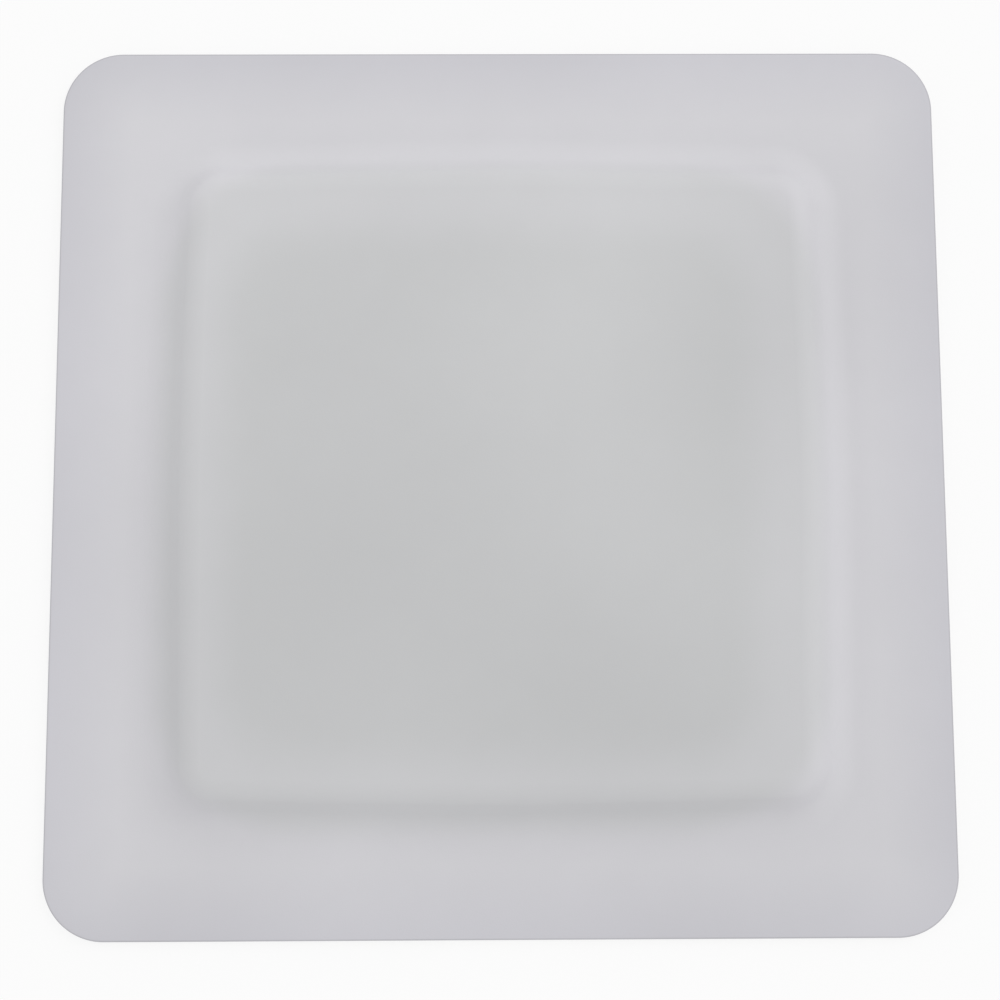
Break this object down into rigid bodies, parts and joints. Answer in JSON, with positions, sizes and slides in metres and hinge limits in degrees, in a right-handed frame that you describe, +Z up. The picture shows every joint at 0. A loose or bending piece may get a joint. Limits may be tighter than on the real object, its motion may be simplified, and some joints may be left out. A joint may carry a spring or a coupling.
{
  "type": "adhesive dressing",
  "caption": "Square adhesive wound dressing: an absorbent foam pad under a thin backing film with a flat sticky border, lying on its split release liner.",
  "frame": {"origin": "middle of the underside, on the surface that the dressing lies on", "axes": "+Z up out of the backing, +X across the liner's split towards the free end of its pull tab, +Y along the split"},
  "size_m": [0.1, 0.1, 0.0049],
  "materials": {
    "backing": "matt skin-like film, cool off-white",
    "foam": "soft open-cell foam, cream white",
    "contact_layer": "soft tacky gel sheet, milky",
    "liner": "smooth release paper, white"
  },
  "bodies": {
    "root": {"backing_film": "backing", "foam_pad": "foam", "wound_contact_layer": "contact_layer", "release_liner_left": "liner", "release_liner_right": "liner"}
  },
  "joints": []
}
